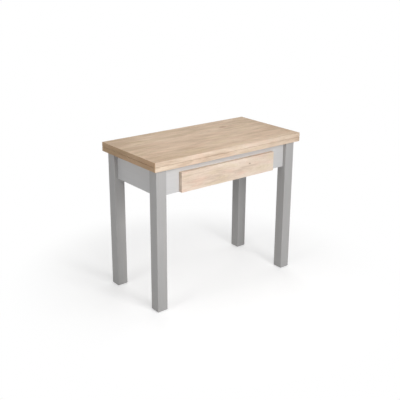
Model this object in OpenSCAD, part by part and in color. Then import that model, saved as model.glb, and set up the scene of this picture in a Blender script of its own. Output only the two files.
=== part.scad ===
// Extending kitchen table with a fold-over top and one drawer.
// Two equal leaves lie on each other. The pair swivels a quarter turn on the frame,
// then the upper leaf folds over beside the lower one and the table is twice as deep.
// Origin: floor level, under the middle of the table. +X runs along the length,
// +Y towards the back, +Z up.

/* [Table] */
// Height of the table surface, closed
table_h = 750; // [710:5:790]
// Length of each leaf
leaf_l = 900; // [860:10:1000]
// Depth of each leaf, which is half the depth of the open table
leaf_w = 450; // [430:5:500]
// Thickness of each leaf
leaf_t = 22; // [20:1:25]
// Thickness of the edge band glued round a leaf
edging_t = 2; // [1.75:0.25:3]
// Rounding of the edge band's upper and lower edges
edging_r = 1; // [0.5:0.25:1.5]
// Gap between the two leaves, filled by the buffers and the hinge knuckles
leaf_gap = 1; // [1:0.25:3]
// Gap between the lower leaf and the frame, filled by the glides and the swivel plate
leaf_lift = 3; // [2:0.5:4]
// How far the leaves stand out past the legs
overhang = 20; // [10:2:26]

/* [Frame] */
// Side of the square legs
leg_s = 55; // [50:1:65]
// Bevel along the legs' corners
leg_bevel = 1.2; // [0.5:0.1:2]
// Height of the aprons
apron_h = 128; // [124:2:140]
// Thickness of the aprons
apron_t = 16; // [15:0.5:18]
// How far the aprons stand back from the legs' outer faces
apron_recess = 19.5; // [17:0.5:22]
// Diameter of the foot glides
foot_d = 26; // [20:1:34]
// Height of the foot glides
foot_h = 4; // [3:0.5:8]
// Diameter of the glides on the legs' tops
top_glide_d = 20; // [14:1:26]
// Diameter of the dowels that join aprons and legs
dowel_d = 8; // [6:1:10]
// Length of the dowels that join aprons and legs
dowel_l = 35; // [30:1:36]

/* [Corner brackets] */
// Thickness of the bent steel corner brackets
bracket_t = 2; // [1.5:0.25:2.5]
// Height of the corner brackets
bracket_h = 60; // [50:2:70]
// Length of each bracket wing
bracket_wing = 32; // [28:1:36]
// Distance of the bracket's bends from the inner corner of the aprons
bracket_reach = 60; // [56:1:66]
// Diameter of the hanger bolts in the legs
bolt_d = 8; // [6:1:8]
// Length of the hanger bolts in the legs
bolt_l = 70; // [66:1:74]

/* [Drawer] */
// Distance from the legs to the ends of the drawer front
front_gap = 86; // [80:2:100]
// How far the drawer front reaches over the upper edge of its opening
front_over = 8; // [6:1:14]
// Thickness of the drawer front
front_t = 19; // [16:0.5:19]
// How far the drawer box stands in from the ends of the drawer front
box_in = 39; // [36:1:50]
// How far the drawer box reaches past its runners at the back
box_past = 3; // [1:1:18]
// Room between the drawer sides and the swivel stud above them
drawer_room = 10; // [8:1:14]
// Thickness of the drawer sides and back
drawer_t = 12; // [10:0.5:15]
// Thickness of the drawer bottom
bottom_t = 3; // [2.5:0.5:4]
// Height of the drawer bottom over the lower edge of the sides
bottom_up = 12; // [11:1:14]
// Width of the finger groove behind the front's lower edge
grip_w = 180; // [100:10:260]
// Radius of the finger groove
grip_r = 12; // [8:1:13]

/* [Drawer runners] */
// Room for the runner on each side of the drawer box
runner_gap = 12.5; // [12.5:0.1:13]
// Room between the fixed runners and the back apron
runner_back = 38; // [34:1:60]
// Thickness of the runners' sheet steel
sheet_t = 1.2; // [1:0.1:1.4]
// Diameter of the fixed front rollers
front_roller_d = 19; // [18:0.5:20]
// Diameter of the rear rollers, which travel with the drawer
rear_roller_d = 18; // [16:0.5:18.5]
// Width of the rollers
roller_w = 8; // [7:0.25:8]
// Diameter of the roller axles
axle_d = 5; // [4:0.5:6]
// Thickness of the wooden rails that carry the fixed runners
rail_t = 16; // [15:0.5:19]
// Height of the wooden rails that carry the fixed runners
rail_h = 60; // [50:1:64]

/* [Swivel] */
// Width of the board that carries the swivel
board_w = 70; // [60:1:76]
// Thickness of the board that carries the swivel
board_t = 19; // [18:0.5:20]
// Side of the square swivel plate under the lower leaf
plate_s = 80; // [64:1:80]
// Diameter of the swivel stud
stud_d = 10; // [8:1:12]
// Diameter of the stop peg under the lower leaf
peg_d = 12; // [8:1:14]
// Length of the stop peg
peg_l = 18; // [14:1:20]

/* [Leaf hinges] */
// Width of each hinge
hinge_w = 50; // [40:2:70]
// Height of each hinge plate
hinge_h = 16; // [14:0.5:17]
// Thickness of the hinge plates
hinge_t = 1.5; // [1:0.1:1.5]
// Outer diameter of the hinge knuckles
knuckle_d = 6; // [5:0.25:6.5]
// Diameter of the hinge pins
pin_d = 3; // [2.5:0.25:3]
// Distance of each hinge's middle from the end of the leaf
hinge_in = 150; // [110:5:230]

/* [Hidden] */

$fn = 48;

// Clearances
fit = 0.05;       // round a pin, screw or dowel in its hole
slide = 0.2;      // between faces that slide on each other
side_play = 0.3;  // beside a roller or a knuckle
front_play = 0.5; // behind the drawer front and where the drawer's parts pass the frame
cut = 1;          // how far a cutting body runs past the face that it cuts

// Levels
lower_z = table_h - 2 * leaf_t - leaf_gap; // underside of the lower leaf
upper_z = lower_z + leaf_t + leaf_gap;     // underside of the upper leaf
frame_z = lower_z - leaf_lift;             // top of the legs and aprons
apron_z = frame_z - apron_h;               // lower edge of the aprons

// Plan of the frame, from the middle of the table
frame_x = leaf_l / 2 - overhang;           // outer face of the legs, left and right
frame_y = leaf_w / 2 - overhang;           // outer face of the legs, front and back
apron_x = frame_x - apron_recess - apron_t; // inner face of the side aprons
apron_y = frame_y - apron_recess - apron_t; // inner face of the long aprons
leg_x = frame_x - leg_s / 2;               // axis of a leg
leg_y = frame_y - leg_s / 2;

// Dowels between the legs and the aprons
dowel_in_leg = 15;
dowel_up = apron_h / 4;   // from the aprons' lower and upper edges
dowel_zs = [apron_z + dowel_up, frame_z - dowel_up];

// Corner brackets and their fasteners
bracket_z = apron_z + apron_h / 2;
bracket_screw_d = 4;
bracket_screw_l = 14;
bracket_screw_up = 0.3 * bracket_h;  // screws above and below the bracket's middle
bracket_screw_in = bracket_wing / 2; // screws from the wing's free end
bolt_hole = 1;            // extra diameter of the hole in the bracket
leg_flat = 12;            // width of the flat on the leg's inner corner, along each face
leg_flat_h = apron_h - 10;
leg_washer_t = 1.6;
bolt_over = 5;            // length of the bolt past its nut
bracket_s = bracket_reach / sqrt(2); // from the inner corner of the aprons to the bracket
bolt_end = bracket_s + bracket_t + leg_washer_t + nut_height(bolt_d) + bolt_over;

// Glides
foot_stem_d = 5;
foot_stem_l = 14;
top_stem_d = 5;
top_stem_l = 10;
foot_bevel = 1.5;

// Swivel
pivot = leaf_w / 4;       // the pivot stands this far right of and behind the middle
plate_t = leaf_lift - slide;
plate_z = frame_z + slide;
plate_corner = 10;
plate_screw_at = plate_s / 2 - 12;
plate_screw_d = 4.5;
plate_screw_l = 16;
board_z = frame_z - board_t;
bush_wall = 2;
bush_flange_t = 1.5;
bush_flange_d = stud_d + 14;
stack_washer_d = stud_d + 20;
stack_washer_t = 2;
spring_t = 1;
spring_rise = 0.6;
spring_d = stud_d + 12;
washer_top = board_z - bush_flange_t - slide;
spring_top = washer_top - stack_washer_t;
swivel_nut_top = spring_top - spring_t - spring_rise;
stud_over = 1.7;          // length of the stud past its nut
stud_end = swivel_nut_top - nut_height(stud_d) - stud_over;
peg_at = apron_y - peg_d / 2 - side_play; // the peg stands this far left of and behind the middle
peg_stem_d = 6;
peg_stem_l = 12;

// Drawer in the frame
front_w = 2 * (frame_x - leg_s - front_gap);
drawer_w = front_w - 2 * box_in;       // over the drawer's sides
runner_in = 1;            // from the front apron to the fixed runner
moving_in = 2;            // from the drawer front to the moving runner
runner_l = 2 * apron_y - runner_in - runner_back;
drawer_d = moving_in + runner_l + box_past; // behind the drawer front

// Drawer runners, heights from the track that the rear rollers run on
front_roller_up = 0.5;    // the front roller's room over the track
track_up = 22;            // from the aprons' lower edge to the track
track_z = apron_z + track_up; // top of the lower flange of the fixed runner
drawer_h = stud_end - drawer_room - track_z;
runner_x = drawer_w / 2 + runner_gap;  // back of the fixed runner
runner_web = runner_x - sheet_t;       // its inner side
front_axle_z = track_z + front_roller_up + front_roller_d / 2;
rear_axle_z = track_z + fit + rear_roller_d / 2;
lip_z = track_z + front_roller_up + front_roller_d + fit; // underside of the moving lip
lip_play = 0.7;           // above the moving lip
cover_z = lip_z + sheet_t + lip_play;  // underside of the fixed runner's upper flange
lower_flange = 10.5;
upper_flange = 9;
under_flange = 11;        // flange of the moving runner under the drawer side
axle_head_d = 9;
axle_head_t = 1;
axle_in = 12;             // from a runner's end to its axle
runner_y = -apron_y + runner_in;       // front end of the fixed runner
front_axle_y = runner_y + axle_in;
box_y = -apron_y - apron_t - front_play; // front end of the drawer sides
moving_y = box_y + moving_in;          // front end of the moving runner
rear_axle_y = moving_y + runner_l - axle_in;
runner_screw_d = 3.5;
runner_screw_l = 13;
under_screw_l = 10;       // screws up into the drawer sides, which end below the bottom
runner_screw_in = 50;
runner_screw_ys = [runner_screw_in, runner_l / 2, runner_l - runner_screw_in];

// The drawer opens this far, until its rear rollers meet the bumps in the tracks
drawer_travel = runner_l * 3 / 4;
bump_r = 2;
bump_y = rear_axle_y - drawer_travel - side_play
    - sqrt(pow(rear_roller_d / 2 + bump_r, 2) - pow(rear_axle_z - track_z, 2));

// Opening for the drawer in the front apron
window_play = 1.8;        // round the runners and below them
window_over = 5;          // over the drawer sides
window_w = 2 * (runner_web + window_play);
window_z = track_z - sheet_t - window_play;
window_h = track_z + drawer_h + window_over - window_z;
front_h = window_z + window_h + front_over - apron_z;

// Rails and swivel board
rail_under = 7;           // from the track to the rails' lower edge
rail_z = track_z - rail_under;
rail_dowel_d = 6;
rail_dowel_l = 30;
rail_dowel_in = 10;       // length in the apron

// Leaf buffers
buffer_d = 10;
buffer_in = 30;           // from the leaf's edges

// Leaf hinges: the pin lies in the middle of the gap and just behind the back edge
hinge_x = leaf_l / 2 - hinge_in;
pin_y = leaf_w / 2 + leaf_gap / 2;
pin_z = lower_z + leaf_t + leaf_gap / 2;
knuckle_l = (hinge_w - 2 * side_play) / 3;
knuckle_room = 0.4;
hinge_screw_d = 3.5;
hinge_screw_l = 16;
hinge_screw_head = 6.4;
hinge_screw_x = hinge_w / 2 - 8;
hinge_screw_z = (leaf_gap + leaf_t) / 2; // below the pin, and above it in the upper leaf
hinge_off = leaf_gap / 2; // the plate's outer face stands this far before the pin

// Drawer box
groove = 6;               // depth of the groove for the bottom
drawer_z = track_z;       // lower edge of the drawer sides
back_z = drawer_z + bottom_up + bottom_t;
drawer_dowel_d = 6;
drawer_dowel_l = 30;
drawer_dowel_in = 10;     // length in the drawer front
drawer_screw_d = 4;
drawer_screw_l = 35;
drawer_joint = 11;        // dowels and screws from the bottom and from the sides' top
drawer_joint_zs = [back_z + drawer_joint, drawer_z + drawer_h - drawer_joint];
bottom_screw_d = 3;
bottom_screw_l = 16;
bottom_screw_xs = [-0.3 * drawer_w, 0, 0.3 * drawer_w];

wood = "#d8bd9c";
leg_grey = "#b4b1ac";
apron_grey = "#c9c8c5";
board_white = "whitesmoke";
steel = "silver";
nylon = "white";
beech = "tan";

// Hexagonal nuts: width over the flats and height for a thread
function nut_width(d) = 1.5 * d + 1;
function nut_height(d) = 0.8 * d;

// Small helpers

// Copies at the four corners of a rectangle, without turning them
module four_corners(x, y) {
    for (sx = [-1, 1], sy = [-1, 1])
        translate([sx * x, sy * y, 0])
            children();
}

// The front right corner and its mirror images
module mirrored_corners() {
    for (mx = [0, 1], my = [0, 1])
        mirror([mx, 0, 0])
            mirror([0, my, 0])
                children();
}

// The right side and its mirror image
module both_sides() {
    for (m = [0, 1])
        mirror([m, 0, 0])
            children();
}

// The right side, or its mirror image for side = -1
module on_side(side) {
    if (side > 0)
        children();
    else
        mirror([1, 0, 0])
            children();
}

// Cylinders along X and Y that start at the origin
module rod_x(d, l) {
    rotate([0, 90, 0])
        cylinder(d = d, h = l);
}

module rod_y(d, l) {
    rotate([-90, 0, 0])
        cylinder(d = d, h = l);
}

// Board between two corners, given as a corner and a size
module board(at, size) {
    translate(at)
        cube(size);
}

// Wood screw with a countersunk head, point down, top of the head at the origin
module flat_screw(d, l, head_d) {
    head_h = (head_d - d) / 2;
    translate([0, 0, -head_h])
        cylinder(d1 = d, d2 = head_d, h = head_h);
    translate([0, 0, -l + d / 2])
        cylinder(d = d, h = l - d / 2 - head_h);
    translate([0, 0, -l])
        cylinder(d1 = 0.6, d2 = d, h = d / 2);
}

// Hole for flat_screw, open past the head
module flat_screw_hole(d, l, head_d) {
    head_h = (head_d - d) / 2;
    translate([0, 0, -head_h - fit])
        cylinder(d1 = d + 2 * fit, d2 = head_d + 2 * fit, h = head_h + fit);
    translate([0, 0, -l - fit])
        cylinder(d = d + 2 * fit, h = l + fit);
    cylinder(d = head_d + 2 * fit, h = cut);
}

// Wood screw with a pan head, point down, underside of the head at the origin
module pan_screw(d, l) {
    cylinder(d1 = 2 * d, d2 = 1.4 * d, h = 0.6 * d);
    translate([0, 0, -l + d / 2])
        cylinder(d = d, h = l - d / 2);
    translate([0, 0, -l])
        cylinder(d1 = 0.6, d2 = d, h = d / 2);
}

// Dowel with bevelled ends, along Z from the origin
module dowel(d, l) {
    bevel = d / 10;
    cylinder(d1 = d - 2 * bevel, d2 = d, h = bevel);
    translate([0, 0, bevel])
        cylinder(d = d, h = l - 2 * bevel);
    translate([0, 0, l - bevel])
        cylinder(d1 = d, d2 = d - 2 * bevel, h = bevel);
}

module dowel_hole(d, l) {
    translate([0, 0, -fit])
        cylinder(d = d + 2 * fit, h = l + 2 * fit);
}

// Hexagonal nut for a thread of this diameter, along Z from the origin
module hex_nut(d) {
    af = nut_width(d);
    h = nut_height(d);
    difference() {
        intersection() {
            cylinder(d = af / cos(30), h = h, $fn = 6);
            // bevels the outer corners
            cylinder(d1 = af + 2 * h, d2 = 0.95 * af, h = h);
        }
        translate([0, 0, -cut])
            cylinder(d = d + 2 * fit, h = h + 2 * cut);
    }
}

// Flat ring along Z from the origin
module ring(outer, inner, h) {
    difference() {
        cylinder(d = outer, h = h);
        translate([0, 0, -cut])
            cylinder(d = inner, h = h + 2 * cut);
    }
}

// Where the dowels lie

// Dowels of the front right corner, from both aprons into the leg
module apron_dowels_at_corner() {
    for (z = dowel_zs) {
        translate([frame_x - leg_s + dowel_in_leg, -apron_y - apron_t / 2, z])
            rotate([0, -90, 0])
                children();
        translate([apron_x + apron_t / 2, -frame_y + leg_s - dowel_in_leg, z])
            rotate([-90, 0, 0])
                children();
    }
}

// Dowels at both ends of a rail of this width, height and place
module end_dowels(x, z) {
    for (s = [-1, 1])
        translate([x, s * (apron_y + rail_dowel_in), z])
            rotate([s * 90, 0, 0])
                children();
}

module all_rail_dowels() {
    both_sides()
        for (z = [rail_z + rail_h / 4, rail_z + rail_h * 3 / 4])
            end_dowels(runner_x + rail_t / 2, z)
                children();
    for (x = [pivot - board_w / 4, pivot + board_w / 4])
        end_dowels(x, board_z + board_t / 2)
            children();
}

// Frame

// Plan of a leg round its own axis. The inner corner is the one towards -X and +Y.
module leg_plan() {
    h = leg_s / 2;
    b = leg_bevel;
    polygon([
        [-h + b, -h], [h - b, -h], [h, -h + b], [h, h - b],
        [h - b, h], [-h + b, h], [-h, h - b], [-h, -h + b]
    ]);
}

// The front right leg. The others are its mirror images.
module leg() {
    difference() {
        translate([leg_x, -leg_y, foot_h])
            linear_extrude(frame_z - foot_h)
                leg_plan();
        // flat on the inner corner for the hanger bolt
        translate([frame_x - leg_s, -frame_y + leg_s, frame_z - leg_flat_h])
            rotate([0, 0, 45])
                translate([-leg_s, -leg_flat / sqrt(2), 0])
                    cube([2 * leg_s, leg_s, leg_flat_h + cut]);
        apron_dowels_at_corner()
            dowel_hole(dowel_d, dowel_l);
        on_bolt_axis(bolt_end - bolt_l)
            translate([0, 0, -fit])
                cylinder(d = bolt_d + 2 * fit, h = bolt_l);
        translate([leg_x, -leg_y, foot_h - cut])
            cylinder(d = foot_stem_d + 2 * fit, h = foot_stem_l + cut + fit);
        translate([leg_x, -leg_y, frame_z - top_stem_l - fit])
            cylinder(d = top_stem_d + 2 * fit, h = top_stem_l + cut);
    }
}

module one_leg(mx, my) {
    color(leg_grey)
        mirror([mx, 0, 0])
            mirror([0, my, 0])
                leg();
}

// Both long aprons, which differ only in the drawer's opening
module long_apron() {
    length = 2 * (frame_x - leg_s);
    difference() {
        board([-length / 2, -apron_y - apron_t, apron_z], [length, apron_t, apron_h]);
        both_sides() {
            apron_dowels_at_corner()
                dowel_hole(dowel_d, dowel_l);
            bracket_screws_at_corner()
                translate([0, 0, -bracket_screw_l - fit])
                    cylinder(d = bracket_screw_d + 2 * fit, h = bracket_screw_l + 2 * fit);
        }
        all_rail_dowels()
            dowel_hole(rail_dowel_d, rail_dowel_l);
    }
}

module apron_front() {
    color(apron_grey)
        difference() {
            long_apron();
            board([-window_w / 2, -apron_y - apron_t - cut, window_z],
                  [window_w, apron_t + 2 * cut, window_h]);
        }
}

module apron_back() {
    color(apron_grey)
        mirror([0, 1, 0])
            long_apron();
}

module apron_side(side) {
    length = 2 * (frame_y - leg_s);
    color(apron_grey)
        on_side(side)
            difference() {
                board([apron_x, -length / 2, apron_z], [apron_t, length, apron_h]);
                for (m = [0, 1])
                    mirror([0, m, 0]) {
                        apron_dowels_at_corner()
                            dowel_hole(dowel_d, dowel_l);
                        bracket_screws_at_corner()
                            translate([0, 0, -bracket_screw_l - fit])
                                cylinder(d = bracket_screw_d + 2 * fit,
                                         h = bracket_screw_l + 2 * fit);
                    }
            }
}

// Children along the diagonal of the front right corner, from s past the inner corner
// of the aprons, pointing away from the leg
module on_bolt_axis(s) {
    translate([apron_x, -apron_y, bracket_z])
        rotate([0, 0, 135])
            translate([s, 0, 0])
                rotate([0, 90, 0])
                    children();
}

// Screws through both wings of the bracket in the front right corner,
// each with its head side along +Z
module bracket_screws_at_corner() {
    along = bracket_reach + bracket_wing - bracket_screw_in;
    for (dz = [-bracket_screw_up, bracket_screw_up]) {
        translate([apron_x - along, -apron_y + bracket_t, bracket_z + dz])
            rotate([-90, 0, 0])
                children();
        translate([apron_x - bracket_t, -apron_y + along, bracket_z + dz])
            rotate([0, -90, 0])
                children();
    }
}

// Bent plate across the inner corner, seen from above with the corner at the origin
// and the aprons along -X and +Y
module bracket_plan() {
    r = bracket_reach;
    w = bracket_wing;
    t = bracket_t;
    k = t * tan(22.5);
    polygon([
        [-r - w, 0], [-r, 0], [0, r], [0, r + w],
        [-t, r + w], [-t, r + k], [-r - k, t], [-r - w, t]
    ]);
}

module corner_bracket() {
    difference() {
        translate([apron_x, -apron_y, bracket_z - bracket_h / 2])
            linear_extrude(bracket_h)
                bracket_plan();
        on_bolt_axis(0)
            cylinder(d = bolt_d + bolt_hole, h = 2 * bracket_s);
        bracket_screws_at_corner()
            translate([0, 0, -bracket_t - cut])
                cylinder(d = bracket_screw_d + 4 * fit, h = bracket_t + 2 * cut);
    }
}

module corner_brackets() {
    color(steel)
        mirrored_corners()
            corner_bracket();
}

module bracket_screws() {
    color(steel)
        mirrored_corners()
            bracket_screws_at_corner()
                pan_screw(bracket_screw_d, bracket_screw_l);
}

module leg_bolts() {
    color(steel)
        mirrored_corners()
            on_bolt_axis(bolt_end - bolt_l)
                dowel(bolt_d, bolt_l);
}

module leg_washers() {
    color(steel)
        mirrored_corners()
            on_bolt_axis(bracket_s + bracket_t)
                ring(2 * bolt_d, bolt_d + 4 * fit, leg_washer_t);
}

module leg_nuts() {
    color(steel)
        mirrored_corners()
            on_bolt_axis(bracket_s + bracket_t + leg_washer_t)
                hex_nut(bolt_d);
}

module apron_dowels() {
    color(beech)
        mirrored_corners()
            apron_dowels_at_corner()
                dowel(dowel_d, dowel_l);
}

module foot_glides() {
    color("dimgray")
        four_corners(leg_x, leg_y) {
            cylinder(d1 = foot_d - 2 * foot_bevel, d2 = foot_d, h = foot_bevel);
            translate([0, 0, foot_bevel])
                cylinder(d = foot_d, h = foot_h - foot_bevel);
            translate([0, 0, foot_h])
                cylinder(d = foot_stem_d, h = foot_stem_l);
        }
}

module top_glides() {
    color(nylon)
        four_corners(leg_x, leg_y) {
            translate([0, 0, frame_z])
                cylinder(d = top_glide_d, h = leaf_lift - slide);
            translate([0, 0, frame_z - top_stem_l])
                cylinder(d = top_stem_d, h = top_stem_l);
        }
}

// Wooden rails inside the frame

module runner_rail(side) {
    color(board_white)
        on_side(side)
            difference() {
                board([runner_x, -apron_y, rail_z], [rail_t, 2 * apron_y, rail_h]);
                all_rail_dowels()
                    dowel_hole(rail_dowel_d, rail_dowel_l);
                runner_fixed_screws_at_side()
                    flat_screw_hole(runner_screw_d, runner_screw_l, 2 * runner_screw_d);
            }
}

module rail_dowels() {
    color(beech)
        all_rail_dowels()
            dowel(rail_dowel_d, rail_dowel_l);
}

module swivel_board() {
    color(board_white)
        difference() {
            board([pivot - board_w / 2, -apron_y, board_z], [board_w, 2 * apron_y, board_t]);
            all_rail_dowels()
                dowel_hole(rail_dowel_d, rail_dowel_l);
            translate([pivot, pivot, board_z - cut])
                cylinder(d = stud_d + 2 * bush_wall + 4 * fit, h = board_t + 2 * cut);
        }
}

// Drawer runners, right side

module runner_fixed_screws_at_side() {
    for (y = runner_screw_ys)
        translate([runner_web, runner_y + y, (track_z + cover_z) / 2])
            rotate([0, -90, 0])
                children();
}

module runner_fixed(side) {
    low = track_z - sheet_t;
    high = cover_z + sheet_t;
    color(board_white)
        on_side(side)
            difference() {
                union() {
                    translate([0, runner_y, 0])
                        rotate([-90, 0, 0])
                            linear_extrude(runner_l)
                                polygon([
                                    [runner_x, -low], [runner_x, -high],
                                    [runner_x - upper_flange, -high],
                                    [runner_x - upper_flange, -cover_z],
                                    [runner_web, -cover_z],
                                    [runner_web, -track_z],
                                    [runner_x - lower_flange, -track_z],
                                    [runner_x - lower_flange, -low]
                                ]);
                    // bump that stops the rear roller
                    intersection() {
                        translate([runner_x - lower_flange, bump_y, track_z])
                            rod_x(2 * bump_r, lower_flange);
                        board([runner_x - lower_flange, bump_y - bump_r, low],
                              [lower_flange, 2 * bump_r, sheet_t + bump_r]);
                    }
                }
                runner_fixed_screws_at_side()
                    flat_screw_hole(runner_screw_d, runner_screw_l, 2 * runner_screw_d);
                translate([runner_x - 2 * sheet_t, front_axle_y, front_axle_z])
                    rod_x(axle_d + 2 * fit, 3 * sheet_t);
            }
}

module runner_fixed_screws() {
    color(steel)
        both_sides()
            runner_fixed_screws_at_side()
                flat_screw(runner_screw_d, runner_screw_l, 2 * runner_screw_d);
}

// Riveted axle along X from the origin, its head at the far end
module roller_axle() {
    rod_x(axle_d, sheet_t + side_play + roller_w + slide);
    translate([sheet_t + side_play + roller_w + slide, 0, 0])
        rod_x(axle_head_d, axle_head_t);
}

// Roller along X from the origin, with a rim and a recessed face
module roller(d) {
    rim = 2;
    recess = 1.5;
    bevel = 0.6;
    hub = axle_d / 2 + 1.6;
    rotate([0, 90, 0])
        rotate_extrude()
            polygon([
                [axle_d / 2 + fit, 0], [d / 2 - bevel, 0], [d / 2, bevel],
                [d / 2, roller_w - bevel], [d / 2 - bevel, roller_w],
                [d / 2 - rim, roller_w], [d / 2 - rim, roller_w - recess],
                [hub, roller_w - recess], [hub, roller_w], [axle_d / 2 + fit, roller_w]
            ]);
}

// The front rollers turn on the fixed runners, so their axles point inwards
module at_front_axle(x) {
    translate([x, front_axle_y, front_axle_z])
        mirror([1, 0, 0])
            children();
}

module at_rear_axle(x) {
    translate([x, rear_axle_y, rear_axle_z])
        children();
}

module front_roller_axles() {
    color(steel)
        both_sides()
            at_front_axle(runner_x)
                roller_axle();
}

module front_roller(side) {
    color(nylon)
        on_side(side)
            at_front_axle(runner_web - side_play)
                roller(front_roller_d);
}

module rear_roller_axles() {
    color(steel)
        both_sides()
            at_rear_axle(drawer_w / 2)
                roller_axle();
}

module rear_roller(side) {
    color(nylon)
        on_side(side)
            at_rear_axle(drawer_w / 2 + sheet_t + side_play)
                roller(rear_roller_d);
}

module runner_moving_screws_at_side() {
    for (y = runner_screw_ys)
        translate([(drawer_w - drawer_t) / 2, moving_y + y, drawer_z - sheet_t])
            rotate([180, 0, 0])
                children();
}

module runner_moving(side) {
    inner = drawer_w / 2 - under_flange;
    outer = drawer_w / 2 + sheet_t;
    lip = runner_web - 1;
    color(board_white)
        on_side(side)
            difference() {
                translate([0, moving_y, 0])
                    rotate([-90, 0, 0])
                        linear_extrude(runner_l)
                            polygon([
                                [inner, -(drawer_z - sheet_t)], [inner, -drawer_z],
                                [drawer_w / 2, -drawer_z], [drawer_w / 2, -(lip_z + sheet_t)],
                                [lip, -(lip_z + sheet_t)], [lip, -lip_z],
                                [outer, -lip_z], [outer, -(drawer_z - sheet_t)]
                            ]);
                runner_moving_screws_at_side()
                    flat_screw_hole(runner_screw_d, under_screw_l, 2 * runner_screw_d);
                translate([drawer_w / 2 - sheet_t, rear_axle_y, rear_axle_z])
                    rod_x(axle_d + 2 * fit, 3 * sheet_t);
            }
}

module runner_moving_screws() {
    color(steel)
        both_sides()
            runner_moving_screws_at_side()
                flat_screw(runner_screw_d, under_screw_l, 2 * runner_screw_d);
}

// Drawer

module drawer_dowels_at_side() {
    for (z = drawer_joint_zs)
        translate([(drawer_w - drawer_t) / 2, box_y - drawer_dowel_in, z])
            rotate([-90, 0, 0])
                children();
}

module drawer_screws_at_side() {
    for (z = drawer_joint_zs)
        translate([drawer_w / 2, box_y + drawer_d - drawer_t / 2, z])
            rotate([0, 90, 0])
                children();
}

// The sheet that slides in the grooves of the front and the sides
module bottom_sheet(play) {
    half = drawer_w / 2 - drawer_t + groove - front_play + play;
    board([-half, box_y - groove + front_play - play, drawer_z + bottom_up - play],
          [2 * half, drawer_d + groove - front_play + 2 * play, bottom_t + 2 * play]);
}

module drawer_front() {
    color(wood)
        difference() {
            board([-front_w / 2, box_y - front_t, apron_z], [front_w, front_t, front_h]);
            both_sides()
                drawer_dowels_at_side()
                    dowel_hole(drawer_dowel_d, drawer_dowel_l);
            bottom_sheet(slide);
            // finger groove behind the lower edge
            translate([-grip_w / 2, box_y, apron_z])
                rod_x(2 * grip_r, grip_w);
            for (s = [-1, 1])
                translate([s * grip_w / 2, box_y, apron_z])
                    sphere(r = grip_r);
        }
}

module drawer_side(side) {
    color(board_white)
        on_side(side)
            difference() {
                board([drawer_w / 2 - drawer_t, box_y, drawer_z],
                      [drawer_t, drawer_d, drawer_h]);
                bottom_sheet(slide);
                drawer_dowels_at_side()
                    dowel_hole(drawer_dowel_d, drawer_dowel_l);
                drawer_screws_at_side()
                    flat_screw_hole(drawer_screw_d, drawer_screw_l, 2 * drawer_screw_d);
                runner_moving_screws_at_side()
                    flat_screw_hole(runner_screw_d, under_screw_l, 2 * runner_screw_d);
            }
}

module drawer_back() {
    half = drawer_w / 2 - drawer_t;
    color(board_white)
        difference() {
            board([-half, box_y + drawer_d - drawer_t, back_z + slide],
                  [2 * half, drawer_t, drawer_h - bottom_up - bottom_t - slide]);
            both_sides()
                drawer_screws_at_side()
                    flat_screw_hole(drawer_screw_d, drawer_screw_l, 2 * drawer_screw_d);
            drawer_bottom_screws_at()
                bottom_screw_hole();
        }
}

// Screws up through the bottom into the back, undersides of their heads at the origin
module drawer_bottom_screws_at() {
    for (x = bottom_screw_xs)
        translate([x, box_y + drawer_d - drawer_t / 2, drawer_z + bottom_up])
            rotate([180, 0, 0])
                children();
}

module bottom_screw_hole() {
    translate([0, 0, -bottom_screw_l - fit])
        cylinder(d = bottom_screw_d + 2 * fit, h = bottom_screw_l + 2 * fit);
}

module drawer_bottom() {
    color("white")
        difference() {
            bottom_sheet(0);
            drawer_bottom_screws_at()
                bottom_screw_hole();
        }
}

module drawer_bottom_screws() {
    color(steel)
        drawer_bottom_screws_at()
            pan_screw(bottom_screw_d, bottom_screw_l);
}

module drawer_dowels() {
    color(beech)
        both_sides()
            drawer_dowels_at_side()
                dowel(drawer_dowel_d, drawer_dowel_l);
}

module drawer_screws() {
    color(steel)
        both_sides()
            drawer_screws_at_side()
                flat_screw(drawer_screw_d, drawer_screw_l, 2 * drawer_screw_d);
}

// Leaves

// Cross-section of an edge band. Its outer face is at x = 0 and it lies on y = 0.
module edging_section() {
    r = edging_r;
    translate([-edging_t, 0])
        square([edging_t - r, leaf_t]);
    translate([-r, r])
        square([r, leaf_t - 2 * r]);
    intersection() {
        union() {
            translate([-r, r])
                circle(r = r);
            translate([-r, leaf_t - r])
                circle(r = r);
        }
        translate([-r, 0])
            square([r, leaf_t]);
    }
}

// Band round a leaf whose underside is at z, rounded at the leaf's corners
module edging(z) {
    for (s = [-1, 1]) {
        mirror([0, s < 0 ? 1 : 0, 0])
            translate([-leaf_l / 2 + edging_t, leaf_w / 2, z])
                rotate([90, 0, 90])
                    linear_extrude(leaf_l - 2 * edging_t)
                        edging_section();
        mirror([s < 0 ? 1 : 0, 0, 0])
            translate([leaf_l / 2, leaf_w / 2 - edging_t, z])
                rotate([90, 0, 0])
                    linear_extrude(leaf_w - 2 * edging_t)
                        edging_section();
    }
    mirrored_corners()
        translate([leaf_l / 2 - edging_t, -leaf_w / 2 + edging_t, z])
            intersection() {
                rotate_extrude()
                    translate([edging_t, 0])
                        edging_section();
                translate([0, -2 * edging_t, 0])
                    cube([2 * edging_t, 2 * edging_t, leaf_t]);
            }
}

module leaf_core(z) {
    board([-leaf_l / 2 + edging_t, -leaf_w / 2 + edging_t, z],
          [leaf_l - 2 * edging_t, leaf_w - 2 * edging_t, leaf_t]);
}

module swivel_plate_screws_at() {
    translate([pivot, pivot, 0])
        four_corners(plate_screw_at, plate_screw_at)
            translate([0, 0, plate_z])
                rotate([180, 0, 0])
                    children();
}

module at_peg() {
    translate([-peg_at, peg_at, 0])
        children();
}

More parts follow.
